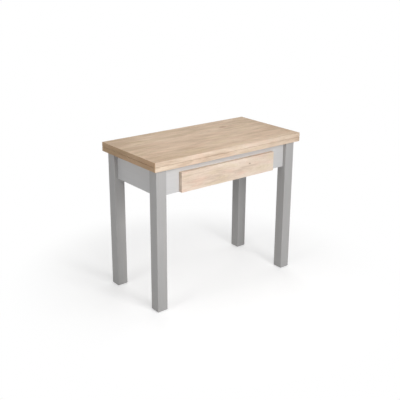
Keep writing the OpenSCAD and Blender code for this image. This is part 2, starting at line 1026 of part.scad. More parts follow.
// Room for a hinge in a leaf's back edge: the plate's bed, the knuckles and the screws.
// up = 1 for the upper leaf, -1 for the lower one
module hinge_room(up) {
    for (s = [-1, 1])
        translate([s * hinge_x, pin_y, pin_z])
            mirror([0, 0, up < 0 ? 1 : 0]) {
                translate([-hinge_w / 2 - fit, -hinge_off - hinge_t - fit, 0])
                    cube([hinge_w + 2 * fit, hinge_off + hinge_t + cut,
                          hinge_off + hinge_h + fit]);
                translate([-hinge_w / 2 - fit, 0, 0])
                    rod_x(knuckle_d + 2 * knuckle_room, hinge_w + 2 * fit);
                hinge_screws_at_hinge()
                    flat_screw_hole(hinge_screw_d, hinge_screw_l, hinge_screw_head);
            }
}

module lower_leaf_cuts() {
    swivel_plate_screws_at()
        flat_screw_hole(plate_screw_d, plate_screw_l, 2 * plate_screw_d);
    at_peg()
        translate([0, 0, lower_z - cut])
            cylinder(d = peg_stem_d + 2 * fit, h = peg_stem_l + cut + fit);
    hinge_room(-1);
}

module lower_leaf() {
    color(wood)
        difference() {
            leaf_core(lower_z);
            lower_leaf_cuts();
        }
}

module lower_leaf_edging() {
    color(wood)
        difference() {
            edging(lower_z);
            hinge_room(-1);
        }
}

module upper_leaf() {
    color(wood)
        difference() {
            leaf_core(upper_z);
            hinge_room(1);
        }
}

module upper_leaf_edging() {
    color(wood)
        difference() {
            edging(upper_z);
            hinge_room(1);
        }
}

module leaf_buffers() {
    color("gainsboro")
        four_corners(leaf_l / 2 - buffer_in, leaf_w / 2 - buffer_in)
            translate([0, 0, lower_z + leaf_t])
                cylinder(d1 = buffer_d, d2 = buffer_d - 2, h = leaf_gap - slide);
}

// Leaf hinges, with the pin along X through the origin and the plate above it

// Two screws through a plate, heads towards +Y
module hinge_screws_at_hinge() {
    for (x = [-hinge_screw_x, hinge_screw_x])
        translate([x, -hinge_off, hinge_screw_z])
            rotate([-90, 0, 0])
                children();
}

// starts and widths of the knuckles that belong to a plate
function outer_knuckles() = [[-hinge_w / 2, knuckle_l], [hinge_w / 2 - knuckle_l, knuckle_l]];
function inner_knuckles() = [[-knuckle_l / 2, knuckle_l]];

module hinge_plate(own, others) {
    difference() {
        union() {
            translate([-hinge_w / 2, -hinge_off - hinge_t, side_play])
                cube([hinge_w, hinge_t, hinge_off + hinge_h - side_play]);
            for (k = own)
                translate([k[0], 0, 0])
                    rod_x(knuckle_d, k[1]);
        }
        for (k = own)
            translate([k[0] - cut, 0, 0])
                rod_x(pin_d + 2 * fit, k[1] + 2 * cut);
        for (k = others)
            translate([k[0] - side_play, 0, 0])
                rod_x(knuckle_d + 2 * knuckle_room, k[1] + 2 * side_play);
        hinge_screws_at_hinge()
            flat_screw_hole(hinge_screw_d, hinge_screw_l, hinge_screw_head);
    }
}

module hinge_lower(side) {
    color(steel)
        translate([side * hinge_x, pin_y, pin_z])
            mirror([0, 0, 1])
                hinge_plate(outer_knuckles(), inner_knuckles());
}

module hinge_upper(side) {
    color(steel)
        translate([side * hinge_x, pin_y, pin_z])
            hinge_plate(inner_knuckles(), outer_knuckles());
}

module hinge_pins() {
    color(steel)
        for (s = [-1, 1])
            translate([s * hinge_x - hinge_w / 2, pin_y, pin_z])
                rod_x(pin_d, hinge_w);
}

module hinge_screws(up) {
    color(steel)
        for (s = [-1, 1])
            translate([s * hinge_x, pin_y, pin_z])
                mirror([0, 0, up < 0 ? 1 : 0])
                    hinge_screws_at_hinge()
                        flat_screw(hinge_screw_d, hinge_screw_l, hinge_screw_head);
}

// Swivel

module at_pivot(z) {
    translate([pivot, pivot, z])
        children();
}

module swivel_plate() {
    h = plate_s / 2;
    c = plate_corner;
    color(steel)
        difference() {
            at_pivot(plate_z)
                linear_extrude(plate_t)
                    difference() {
                        polygon([
                            [-h + c, -h], [h - c, -h], [h, -h + c], [h, h - c],
                            [h - c, h], [-h + c, h], [-h, h - c], [-h, -h + c]
                        ]);
                        circle(d = stud_d + 2 * fit);
                    }
            swivel_plate_screws_at()
                flat_screw_hole(plate_screw_d, plate_screw_l, 2 * plate_screw_d);
        }
}

module swivel_plate_screws() {
    color(steel)
        swivel_plate_screws_at()
            flat_screw(plate_screw_d, plate_screw_l, 2 * plate_screw_d);
}

module swivel_stud() {
    color(steel)
        at_pivot(stud_end)
            dowel(stud_d, lower_z - stud_end);
}

module swivel_bush() {
    color(nylon) {
        at_pivot(board_z)
            ring(stud_d + 2 * bush_wall, stud_d + 2 * fit, board_t);
        at_pivot(board_z - bush_flange_t)
            ring(bush_flange_d, stud_d + 2 * fit, bush_flange_t);
    }
}

module swivel_washer() {
    color(steel)
        at_pivot(spring_top)
            ring(stack_washer_d, stud_d + 4 * fit, stack_washer_t);
}

// Dished spring washer between the flat washer and the nut
module swivel_spring() {
    bore = stud_d / 2 + 2 * fit;
    color(steel)
        at_pivot(swivel_nut_top)
            rotate_extrude()
                polygon([
                    [bore, 0], [spring_d / 2, spring_rise],
                    [spring_d / 2, spring_rise + spring_t], [bore, spring_t]
                ]);
}

module swivel_nut() {
    color(steel)
        at_pivot(swivel_nut_top - nut_height(stud_d))
            hex_nut(stud_d);
}

module swivel_stop() {
    color(nylon)
        at_peg() {
            translate([0, 0, lower_z - peg_l])
                cylinder(d = peg_d, h = peg_l);
            translate([0, 0, lower_z])
                cylinder(d = peg_stem_d, h = peg_stem_l);
        }
}

one_leg(1, 0);  // leg_front_left
one_leg(0, 0);  // leg_front_right
one_leg(1, 1);  // leg_back_left
one_leg(0, 1);  // leg_back_right
apron_front();
apron_back();
apron_side(-1);  // apron_left
apron_side(1);  // apron_right
corner_brackets();
leg_bolts();
leg_washers();
leg_nuts();
bracket_screws();
apron_dowels();
foot_glides();
top_glides();
runner_rail(-1);  // runner_rail_left
runner_rail(1);  // runner_rail_right
swivel_board();
rail_dowels();
runner_fixed(-1);  // runner_fixed_left
runner_fixed(1);  // runner_fixed_right
runner_fixed_screws();
front_roller_axles();
front_roller(-1);  // front_roller_left
front_roller(1);  // front_roller_right
swivel_bush();
swivel_plate();
swivel_plate_screws();
swivel_stud();
swivel_washer();
swivel_spring();
swivel_nut();
swivel_stop();
lower_leaf();
lower_leaf_edging();
leaf_buffers();
hinge_lower(-1);  // hinge_left_lower
hinge_lower(1);  // hinge_right_lower
hinge_screws(-1);  // hinge_screws_lower
hinge_pins();
upper_leaf();
upper_leaf_edging();
hinge_upper(-1);  // hinge_left_upper
hinge_upper(1);  // hinge_right_upper
hinge_screws(1);  // hinge_screws_upper
drawer_front();
drawer_side(-1);  // drawer_side_left
drawer_side(1);  // drawer_side_right
drawer_back();
drawer_bottom();
drawer_dowels();
drawer_screws();
drawer_bottom_screws();
runner_moving(-1);  // runner_moving_left
runner_moving(1);  // runner_moving_right
runner_moving_screws();
rear_roller_axles();
rear_roller(-1);  // rear_roller_left
rear_roller(1);  // rear_roller_right
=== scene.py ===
import math

import bmesh
import bpy
import numpy as np
from mathutils import Matrix, Vector


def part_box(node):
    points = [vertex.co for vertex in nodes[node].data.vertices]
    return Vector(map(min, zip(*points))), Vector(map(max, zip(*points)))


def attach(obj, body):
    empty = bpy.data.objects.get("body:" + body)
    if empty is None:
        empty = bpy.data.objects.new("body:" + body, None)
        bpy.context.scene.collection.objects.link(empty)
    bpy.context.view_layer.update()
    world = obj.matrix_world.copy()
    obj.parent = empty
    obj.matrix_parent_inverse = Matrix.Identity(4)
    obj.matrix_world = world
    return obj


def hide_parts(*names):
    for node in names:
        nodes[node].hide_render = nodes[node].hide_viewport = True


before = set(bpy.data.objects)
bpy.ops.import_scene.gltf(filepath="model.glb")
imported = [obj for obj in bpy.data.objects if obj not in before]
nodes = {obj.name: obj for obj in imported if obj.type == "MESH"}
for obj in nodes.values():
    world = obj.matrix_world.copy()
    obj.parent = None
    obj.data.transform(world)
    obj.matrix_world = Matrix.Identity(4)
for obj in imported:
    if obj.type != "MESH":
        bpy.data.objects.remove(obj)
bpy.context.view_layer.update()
mm = 0.001
nearby = 0.001 * mm  # points closer together than this are one point
print("frame loaded:", len(nodes), "nodes")


class Wire:  # an output socket that can stand in a sum or a product
    def __init__(self, board, socket):
        self.board, self.socket = board, socket

    def maths(self, operation, *values):
        return self.board.node("ShaderNodeMath", {"operation": operation}, dict(enumerate(values)))

    def __add__(self, other):
        return self.maths("ADD", self, other)

    def __radd__(self, other):
        return self.maths("ADD", other, self)

    def __sub__(self, other):
        return self.maths("SUBTRACT", self, other)

    def __rsub__(self, other):
        return self.maths("SUBTRACT", other, self)

    def __mul__(self, other):
        return self.maths("MULTIPLY", self, other)

    def __rmul__(self, other):
        return self.maths("MULTIPLY", other, self)

    def __pow__(self, other):
        return self.maths("POWER", self, other)

    def __rpow__(self, other):
        return self.maths("POWER", other, self)

    def __gt__(self, other):
        return self.maths("GREATER_THAN", self, other)

    def __abs__(self):
        return self.maths("ABSOLUTE", self)


class Board:  # the node tree of a material or of the world
    def __init__(self, owner, outlet):
        self.owner, self.outlet = owner, outlet
        owner.use_nodes = True
        self.tree = owner.node_tree
        self.tree.nodes.clear()

    # every node is made here: first its settings, then a value or a link for each socket
    def node(self, kind, settings=None, values=None, output=0):
        made = self.tree.nodes.new(kind)
        for setting, value in (settings or {}).items():
            if setting == "stops":
                while len(made.color_ramp.elements) < len(value):
                    made.color_ramp.elements.new(0.5)
                for element, (position, tone) in zip(made.color_ramp.elements, value):
                    element.position, element.color = position, (*tone, 1)
            else:
                setattr(made, setting, value)
        for socket, value in (values or {}).items():
            if isinstance(value, Wire):
                self.tree.links.new(value.socket, made.inputs[socket])
            else:
                made.inputs[socket].default_value = value
        return Wire(self, made.outputs[output]) if len(made.outputs) else None

    def blend(self, factor, first, second):
        return self.node("ShaderNodeMixShader", None, {0: factor, 1: first, 2: second})

    # 1 for what the camera sees, be it straight, in a reflection or through glass
    def seen(self):
        camera, glossy, through = [self.node("ShaderNodeLightPath", output=ray) for ray in
                                   ("Is Camera Ray", "Is Glossy Ray", "Is Transmission Ray")]
        return camera.maths("MINIMUM", camera + glossy + through, 1.0)

    def surface(self, shader):
        self.node(self.outlet, None, {"Surface": shader})
        return self.owner


class Finish(Board):  # one procedural material, patterned by object coordinates
    def __init__(self, name):
        super().__init__(bpy.data.materials.new(name), "ShaderNodeOutputMaterial")
        self.place = self.node("ShaderNodeTexCoord", output="Object")

    def vector(self, operation, *values):
        return self.node("ShaderNodeVectorMath", {"operation": operation}, dict(enumerate(values)),
                         "Value" if operation == "LENGTH" else "Vector")

    def axes(self, place=None):
        split = self.node("ShaderNodeSeparateXYZ", None, {0: place or self.place})
        return [Wire(self, out) for out in split.socket.node.outputs]

    def noise(self, stretch, place=None, offset=(0, 0, 0), detail=2.0, roughness=0.5):
        spot = self.vector("MULTIPLY_ADD", place or self.place, stretch, offset)
        return self.node("ShaderNodeTexNoise", None,
                         {"Vector": spot, "Scale": 1.0, "Detail": detail, "Roughness": roughness})

    def span(self, value, low, high, toLow=0.0, toHigh=1.0):
        return self.node("ShaderNodeMapRange", {"interpolation_type": "SMOOTHSTEP"},
                         {"Value": value, "From Min": low, "From Max": high,
                          "To Min": toLow, "To Max": toHigh})

    # climbs slowly through every whole turn and falls off fast at its end, as late wood does
    def saw(self, turn, start, peak):
        part = turn.maths("FRACT", turn)
        return self.span(part, start, peak) * self.span(part, peak, 1.0, 1.0, 0.0)

    # 1 at a spot, falling to 0 at its rim, which is as long and wide as asked
    # and frayed by the wander
    def blot(self, place, spot, length, width, wander):
        gap = self.vector("SUBTRACT", place, spot)
        gap = self.vector("MULTIPLY", gap, (2 / length, 2 / width, 2 / width))
        return self.span(self.vector("LENGTH", gap) + wander, 0.0, 1.0, 1.0, 0.0)

    def mix(self, factor, first, second, blend="MIX"):
        first, second = [tone if isinstance(tone, Wire) else (*tone, 1) for tone in (first, second)]
        return self.node("ShaderNodeMix", {"data_type": "RGBA", "blend_type": blend},
                         {0: factor, 6: first, 7: second}, 2)

    def tinted(self, where, tone, tint):
        return self.mix(where, tone, self.mix(1.0, tone, tint, "MULTIPLY"))

    def shade(self, tone, roughness, height, relief, fixed=None):
        bump = self.node("ShaderNodeBump", None,
                         {"Height": height, "Distance": relief * mm, "Strength": 1.0})
        values = {"Base Color": tone, "Roughness": roughness, "Normal": bump, **(fixed or {})}
        return self.surface(self.node("ShaderNodeBsdfPrincipled", None, values))


# What all oak faces share. A scale has cells per metre along, across and up the board, a pair is
# where a change begins and ends, and a relief is in mm.
oakPrint = {
    "wanderScale": (2.4, 9, 9), "fibreScale": (24, 640, 640), "streakScale": (8, 60, 60),
    "patchScale": (5, 18, 18), "poreScale": (70, 1600, 1600), "hueScale": (7, 30, 30),
    "ringScale": (1.6, 7, 7), "ringShift": (7, 3, 1), "ringShow": (0.38, 0.62, 0.25, 1.0),
    "lateWood": (0.25, 0.86), "growth": (0.3, 0.9), "growthsInRing": 3, "growthShare": 0.8,
    "knotFray": 0.6, "knotFibres": 0.35, "knotCore": (0.62, 0.8), "knotShares": (0.6, 0.4),
    "knotPush": 1.6, "blotFray": 3.0, "level": 0.52, "fibrous": 0.36,
    "poreShift": (3, 5, 2), "poreInGrowth": 0.06, "poreShow": (0.60, 0.70),
    "poreTone": (0.34, 0.24, 0.16), "hueShift": (2, 9, 4), "pinkAt": (0.5, 0.68),
    "oliveAt": (0.32, 0.5), "roughAt": (0.3, 0.7, 0.5, 0.6), "fibreHeight": 0.5, "poreDepth": 0.8,
    "relief": 0.06, "specular": 0.35,
}


# pale oak decor: rings of a flat-sawn log, blurred streaks, pink and olive patches, pores,
# stains and a few small knots; painted shade on some blots and on the band's ends, painted light on
# an upper edge
def oakFinish(name, look):
    look = {**oakPrint, **look}
    oak = Finish(name)
    place = oak.place
    along, across, up = oak.axes()
    if "endFrom" in look:  # past this the band runs across the table, and so does its grain
        end = abs(along) > look["endFrom"]
        turned = oak.node("ShaderNodeCombineXYZ", None, {0: across, 1: along, 2: up})
        place = oak.node("ShaderNodeMix", {"data_type": "VECTOR"}, {0: end, 4: place, 5: turned}, 1)
        along, across, up = oak.axes(place)
    shift = look["shift"]
    wander = oak.noise(look["wanderScale"], place, shift, 2, 0.45) - 0.5
    fibres = oak.noise(look["fibreScale"], place, shift, 2)
    knots = cores = stainsAndShade = 0.0
    for spot, length, width in look["knots"]:
        fray = wander * look["knotFray"] + (fibres - 0.5) * look["knotFibres"]
        knot = oak.blot(place, spot, length, width, fray)
        knots = knots + knot ** 3
        cores = cores + oak.span(knot, *look["knotCore"])
    # the blots are stains, and on the leaf two more are painted shade that darkens both ends
    for spot, length, width in look["stainsAndShade"]:
        stainsAndShade = stainsAndShade + oak.blot(place, spot, length, width, wander * look["blotFray"])
    heartAcross, heartBelow, tilt = look["heart"]  # the log's middle, and how it leans to the board
    sideways = across + up - heartAcross + wander * look["wander"]
    depth = along * tilt + heartBelow + wander * (0.5 * look["wander"])
    spoke = oak.node("ShaderNodeCombineXYZ", None, {0: sideways, 1: depth})
    turn = oak.vector("LENGTH", spoke) * look["rings"] + knots * look["knotPush"]
    growth = oak.saw(turn * look["growthsInRing"], *look["growth"])
    rings = oak.saw(turn, *look["lateWood"]) + growth * look["growthShare"]
    clear = oak.span(oak.noise(look["ringScale"], place, look["ringShift"], 1), *look["ringShow"])
    streaks = oak.noise(look["streakScale"], place, shift, 4, 0.55)
    patches = oak.noise(look["patchScale"], place, shift, 3, 0.55)
    holes = oak.noise(look["poreScale"], place, look["poreShift"], 1)
    pores = oak.span(holes + growth * look["poreInGrowth"], *look["poreShow"])
    level = ((patches - 0.5) * look["patchy"] + (streaks - 0.5) * look["streaky"]
             + (fibres - 0.5) * look["fibrous"])
    level = look["level"] + level - rings * clear * look["ringy"] - stainsAndShade * look["blotDepth"]
    tone = oak.node("ShaderNodeValToRGB", {"stops": look["tones"]}, {0: level})
    hue = oak.noise(look["hueScale"], place, look["hueShift"], 3)
    tint = look["tinted"]
    tone = oak.mix(oak.span(hue, *look["pinkAt"], 0, tint), tone, look["pink"], "MULTIPLY")
    tone = oak.mix(oak.span(hue, *look["oliveAt"], tint, 0), tone, look["olive"], "MULTIPLY")
    tone = oak.mix(pores * look["pores"], tone, look["poreTone"])
    if look["knots"]:
        ofKnot, ofCore = look["knotShares"]
        dark = (knots * ofKnot + cores * ofCore) * look["knotted"]
        tone = oak.mix(dark, tone, look["knotTone"])
    # painted shade: the band's ends, which face sideways, are made darker and browner
    if "endFrom" in look:
        tone = oak.tinted(end, tone, look["endPaintedShade"])
    if "rimFrom" in look:  # painted light: the strip on the upper edge, in the shade of the top, is made paler than the face
        tone = oak.tinted(up > look["rimFrom"], tone, look["rimPaintedLight"])
    height = fibres * look["fibreHeight"] - pores * look["poreDepth"]
    return oak.shade(tone, oak.span(streaks, *look["roughAt"]), height, look["relief"],
                     {"Specular IOR Level": look["specular"]})


# Where the knots, the stains and the blots of painted shade lie is given as (place, length, width),
# in metres.
oakLooks = {
    "leaf": {
        "shift": (18.1, 22.4, 37.0), "heart": (0.83, 0.055, 0.055), "rings": 95, "wander": 0.05,
        "patchy": 1.0, "streaky": 1.05, "ringy": 0.09, "blotDepth": 0.16, "tinted": 0.55,
        "pores": 0.36, "knotted": 1.0, "knotTone": (0.41, 0.22, 0.125),
        "tones": [(0.25, (0.518, 0.353, 0.213)), (0.45, (0.643, 0.460, 0.300)),
                  (0.60, (0.700, 0.514, 0.351)), (0.78, (0.763, 0.587, 0.428))],
        "pink": (1.0, 0.92, 0.91), "olive": (0.95, 0.97, 0.85),
        "knots": [((0.208, 0.104, 0.750), 0.12, 0.060)],
        "stainsAndShade": [((-0.26, 0.015, 0.750), 0.50, 0.085), ((-0.06, -0.03, 0.750), 0.24, 0.03),
                   ((0.35, 0.165, 0.750), 0.20, 0.03), ((0.29, -0.09, 0.750), 0.34, 0.02),
                   # the last two, each as wide as the leaf, are painted shade that darkens both
                   # ends, where the sheen falls off
                   ((-0.40, -0.15, 0.750), 0.16, 0.03), ((-0.47, 0.0, 0.750), 0.40, 0.95),
                   ((0.48, 0.0, 0.750), 0.30, 0.95)],
    },
    "lowerLeaf": {
        "shift": (11.0, 4.0, 6.0), "heart": (0.62, 0.04, -0.05), "rings": 95, "wander": 0.05,
        "patchy": 1.0, "streaky": 1.05, "ringy": 0.09, "blotDepth": 0.16, "tinted": 0.55,
        "pores": 0.36, "knotted": 0.8, "knotTone": (0.36, 0.22, 0.145),
        "tones": [(0.25, (0.509, 0.348, 0.223)), (0.45, (0.629, 0.447, 0.298)),
                  (0.60, (0.685, 0.497, 0.339)), (0.78, (0.746, 0.558, 0.400))],
        "pink": (1.0, 0.92, 0.90), "olive": (0.95, 0.965, 0.87),
        "knots": [((-0.18, 0.06, 0.727), 0.085, 0.040)],
        "stainsAndShade": [((0.20, -0.05, 0.727), 0.45, 0.05), ((-0.30, -0.12, 0.727), 0.25, 0.025)],
    },
    "band": {
        "shift": (5.0, 2.0, 8.0), "heart": (0.5, 0.05, 0.03), "rings": 160, "wander": 0.03,
        "patchy": 0.7, "streaky": 0.7, "ringy": 0.08, "blotDepth": 0.1, "tinted": 0.6,
        "pores": 0.32,
        "tones": [(0.25, (0.532, 0.403, 0.298)), (0.45, (0.662, 0.527, 0.405)),
                  (0.60, (0.729, 0.585, 0.464)), (0.78, (0.792, 0.656, 0.539))],
        "pink": (1.0, 0.93, 0.91), "olive": (0.96, 0.97, 0.90), "knots": [], "stainsAndShade": [],
        # its ends take painted shade
        "endFrom": 0.4479, "endPaintedShade": (0.72, 0.61, 0.475),
    },
    "front": {
        "shift": (3.0, 6.0, 2.0), "heart": (0.40, 0.03, 0.09), "rings": 110, "wander": 0.06,
        "patchy": 0.75, "streaky": 0.5, "ringy": 0.05, "blotDepth": 0.15, "tinted": 0.8,
        "pores": 0.36, "knotted": 0.9, "knotTone": (0.22, 0.15, 0.10),
        "tones": [(0.25, (0.549, 0.428, 0.338)), (0.45, (0.703, 0.571, 0.463)),
                  (0.60, (0.768, 0.644, 0.539)), (0.78, (0.830, 0.726, 0.636))],
        "pink": (1.0, 0.91, 0.89), "olive": (0.96, 0.97, 0.88),
        "knots": [((0.128, -0.205, 0.639), 0.028, 0.013)],
        "stainsAndShade": [((-0.15, -0.205, 0.607), 0.20, 0.018), ((0.12, -0.205, 0.628), 0.16, 0.012),
                   ((-0.16, -0.205, 0.652), 0.22, 0.014)],
        # its upper edge takes painted light
        "rimFrom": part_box("drawer_front")[1].z - 0.3 * mm, "rimPaintedLight": (1.17, 1.20, 1.23),
    },
}


foilPrint = {"cloudScale": (3, 3, 3), "hairsInLine": 7, "hairShift": (2, 4, 6),
             "speckScale": (900, 900, 900), "toneShares": (0.4, 0.35, 0.25), "toneAt": (0.38, 0.62),
             "smoother": 0.04, "rougher": 0.05, "heightShares": (0.7, 0.3), "relief": 0.06,
             "specular": 0.4}


# smooth foil with a faint woven-in line structure along one axis
def foilFinish(name, tone, deeper, lines, rough, look=foilPrint):
    foil = Finish(name)
    cloud = foil.noise(look["cloudScale"])
    threads = foil.noise(lines)
    hairs = foil.noise([look["hairsInLine"] * part for part in lines], offset=look["hairShift"])
    specks = foil.noise(look["speckScale"], detail=1)
    ofCloud, ofThreads, ofHairs = look["toneShares"]
    light = foil.span(cloud * ofCloud + threads * ofThreads + hairs * ofHairs, *look["toneAt"])
    gloss = foil.span(threads, 0.3, 0.7, rough - look["smoother"], rough + look["rougher"])
    ofHairs, ofSpecks = look["heightShares"]
    return foil.shade(foil.mix(light, deeper, tone), gloss, hairs * ofHairs + specks * ofSpecks,
                      look["relief"], {"Specular IOR Level": look["specular"]})


zincPrint = {"cloudScale": (70, 70, 70), "lineScale": (60, 60, 1500), "glossShares": (0.8, 0.2),
             "smoother": 0.07, "rougher": 0.08, "relief": 0.01}


# zinc plating: faint blue-yellow clouds, fine drawing lines
def zincFinish(name, tone, second, rough, look=zincPrint):
    zinc = Finish(name)
    clouds = zinc.noise(look["cloudScale"], detail=3)
    drawn = zinc.noise(look["lineScale"])
    ofClouds, ofLines = look["glossShares"]
    gloss = zinc.span(clouds * ofClouds + drawn * ofLines, 0.3, 0.7,
                      rough - look["smoother"], rough + look["rougher"])
    return zinc.shade(zinc.mix(zinc.span(clouds, 0.35, 0.65), tone, second), gloss, drawn,
                      look["relief"], {"Metallic": 1.0})


plasticPrint = {"driftScale": (25, 25, 25), "smoother": 0.05, "rougher": 0.05, "relief": 0.05}


# moulded plastic and powder coat: orange peel and a slight drift of colour
def plasticFinish(name, tone, deeper, rough, grain, fixed=None, look=plasticPrint):
    plastic = Finish(name)
    drift = plastic.noise(look["driftScale"])
    peel = plastic.noise((grain, grain, grain))
    gloss = plastic.span(peel, 0.3, 0.7, rough - look["smoother"], rough + look["rougher"])
    return plastic.shade(plastic.mix(plastic.span(drift, 0.3, 0.7), tone, deeper), gloss, peel,
                         look["relief"], fixed)


hardboardLook = {"fibreScale": (350, 350, 350), "cloudScale": (40, 40, 40), "relief": 0.05,
                 "brown": ((0.20, 0.12, 0.07), (0.33, 0.22, 0.13)),
                 "white": ((0.76, 0.75, 0.72), (0.80, 0.79, 0.76)), "gloss": (0.55, 0.75),
                 "whiteFrom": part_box("drawer_bottom")[1].z - 0.5 * mm}


# white above, bare brown fibre below
def hardboardFinish(name, look):
    sheet = Finish(name)
    lift = sheet.axes()[2]
    fibre = sheet.noise(look["fibreScale"], detail=4, roughness=0.7)
    brown = sheet.mix(sheet.span(fibre, 0.35, 0.65), *look["brown"])
    white = sheet.mix(sheet.span(sheet.noise(look["cloudScale"]), 0.3, 0.7), *look["white"])
    return sheet.shade(sheet.mix(lift > look["whiteFrom"], brown, white),
                       sheet.span(fibre, 0.3, 0.7, *look["gloss"]), fibre, look["relief"])


beechLook = {"streakScale": (160, 160, 160), "fleckScale": (700, 700, 700), "flecked": 0.5,
             "tones": ((0.52, 0.34, 0.20), (0.66, 0.47, 0.30)), "fleckTone": (0.38, 0.22, 0.12),
             "fleckAt": (0.6, 0.75), "gloss": (0.6, 0.7), "relief": 0.08}


def beechFinish(name, look):
    beech = Finish(name)
    streaks = beech.noise(look["streakScale"], detail=4, roughness=0.65)
    flecks = beech.span(beech.noise(look["fleckScale"], detail=1), *look["fleckAt"])
    tone = beech.mix(beech.span(streaks, 0.3, 0.7), *look["tones"])
    tone = beech.mix(flecks * look["flecked"], tone, look["fleckTone"])
    return beech.shade(tone, beech.span(streaks, 0.3, 0.7, *look["gloss"]), streaks,
                       look["relief"])


# foil: two tones, lines per metre along each axis, roughness
# zinc: two tones, roughness; plastic: two tones, roughness, grains per metre
paints = {
    "leg": foilFinish("legGrey", (0.424, 0.417, 0.412), (0.396, 0.389, 0.384),
                      (160, 160, 6), 0.42),
    "apronLong": foilFinish("apronGreyLong", (0.592, 0.588, 0.588), (0.562, 0.558, 0.558),
                            (6, 160, 160), 0.45),
    "apronShort": foilFinish("apronGreyShort", (0.592, 0.588, 0.588), (0.562, 0.558, 0.558),
                             (160, 6, 160), 0.45),
    "white": foilFinish("whiteBoard", (0.76, 0.75, 0.72), (0.73, 0.72, 0.69),
                        (90, 90, 90), 0.45),
    "hardboard": hardboardFinish("hardboard", hardboardLook),
    "beech": beechFinish("beech", beechLook),
    "zinc": zincFinish("zincPlate", (0.60, 0.61, 0.62), (0.66, 0.65, 0.62), 0.32),
    "pin": zincFinish("drawnSteel", (0.56, 0.56, 0.57), (0.62, 0.62, 0.63), 0.25),
    "runner": plasticFinish("powderWhite", (0.80, 0.80, 0.78), (0.77, 0.77, 0.75), 0.4, 900),
    "nylon": plasticFinish("nylon", (0.78, 0.77, 0.73), (0.72, 0.71, 0.67), 0.38, 500,
                           {"Subsurface Weight": 0.1,
                            "Subsurface Radius": (0.002, 0.002, 0.0018)}),
    "foot": plasticFinish("darkPlastic", (0.045, 0.045, 0.046), (0.06, 0.06, 0.06), 0.5, 700),
    "buffer": plasticFinish("clearPlastic", (0.80, 0.81, 0.81), (0.74, 0.75, 0.76), 0.25, 400,
                            {"Transmission Weight": 0.6, "IOR": 1.48}),
    "oakLeaf": oakFinish("oakLeaf", oakLooks["leaf"]),
    "oakLowerLeaf": oakFinish("oakLowerLeaf", oakLooks["lowerLeaf"]),
    "oakBand": oakFinish("oakBand", oakLooks["band"]),
    "oakFront": oakFinish("oakFront", oakLooks["front"]),
}
print("finishes made:", len(paints))


# CAD nodes that stay: their finish, and how far their sharp edges are softened, in mm
kept = {
    "oakLeaf": (["upper_leaf"], 0),
    "oakLowerLeaf": (["lower_leaf"], 0),
    "oakBand": (["upper_leaf_edging", "lower_leaf_edging"], 0),
    "oakFront": (["drawer_front"], 0.8),
    "leg": (["leg_front_left", "leg_front_right", "leg_back_left", "leg_back_right"], 0.4),
    "apronLong": (["apron_front", "apron_back"], 0.5),
    "apronShort": (["apron_left", "apron_right"], 0.5),
    "white": (["runner_rail_left", "runner_rail_right", "swivel_board", "drawer_side_left",
               "drawer_side_right", "drawer_back"], 0.4),
    "hardboard": (["drawer_bottom"], 0),
    "zinc": (["corner_brackets", "front_roller_axles", "rear_roller_axles", "swivel_plate",
              "swivel_spring", "hinge_left_lower", "hinge_right_lower", "hinge_left_upper",
              "hinge_right_upper"], 0.15),
    "pin": (["hinge_pins"], 0.2),
    "runner": (["runner_fixed_left", "runner_fixed_right", "runner_moving_left",
                "runner_moving_right"], 0.2),
    "nylon": (["front_roller_left", "front_roller_right", "rear_roller_left",
               "rear_roller_right", "swivel_bush", "swivel_stop", "top_glides"], 0.15),
    "foot": (["foot_glides"], 0.2),
    "buffer": (["leaf_buffers"], 0.2),
}
softening = {"segments": 2, "profile": 0.5, "sharpFrom": 50}  # the angle in degrees


def dressNode(name, paint, soften):
    node = nodes[name]
    for slot in node.material_slots:
        slot.material = paints[paint]
    if soften:
        weld = node.modifiers.new("weld", "WELD")
        weld.merge_threshold = nearby
        bevel = node.modifiers.new("soften", "BEVEL")
        bevel.width, bevel.segments = soften * mm, softening["segments"]
        bevel.profile = softening["profile"]
        bevel.limit_method, bevel.angle_limit = "ANGLE", math.radians(softening["sharpFrom"])


for paint, (names, soften) in kept.items():
    for name in names:
        dressNode(name, paint, soften)
print("CAD nodes finished:", sum(len(names) for names, soften in kept.values()))


# the points of each loose part of a node
def looseParts(nodeName):
    bm = bmesh.new()
    bm.from_mesh(nodes[nodeName].data)
    bmesh.ops.remove_doubles(bm, verts=bm.verts, dist=2 * nearby)
    left, parts = set(bm.verts), []
    while left:
        part, waiting = [], [min(left, key=lambda vert: vert.index)]
        left.discard(waiting[0])
        while waiting:
            vert = waiting.pop()
            part.append(vert.co.copy())
            for edge in vert.link_edges:
                other = edge.other_vert(vert)
                if other in left:
                    left.discard(other)
                    waiting.append(other)
        parts.append(np.array(part))
    bm.free()
    return parts


# where a part sits, how long and how wide it is: origin at the head's end, Z out of the head,
# X to a corner
def seatOf(points, headTowards, flat):
    centre = points.mean(0)
    axis = np.linalg.svd(points - centre, full_matrices=False)[2][2 if flat else 0]
    middle = centre + axis * (((points.max(0) + points.min(0)) / 2 - centre) @ axis)
    heights = (points - middle) @ axis
    radii = np.linalg.norm((points - middle) - np.outer(heights, axis), axis=1)
    if headTowards is not None:
        away = (np.array(headTowards) - middle) @ axis < 0
    else:  # the head is the wider end
        away = radii[heights > 0].mean() < radii[heights < 0].mean()
    if away:
        axis, heights = -axis, -heights
    corner = (points - middle)[radii.argmax()]
    corner = corner - axis * (corner @ axis)
    corner /= np.linalg.norm(corner)
    head = middle + axis * heights.max()
    columns = np.column_stack((corner, np.cross(axis, corner), axis, head))
    seat = Matrix([*columns.tolist(), [0, 0, 0, 1]])
    return seat, heights.max() - heights.min(), radii.max()


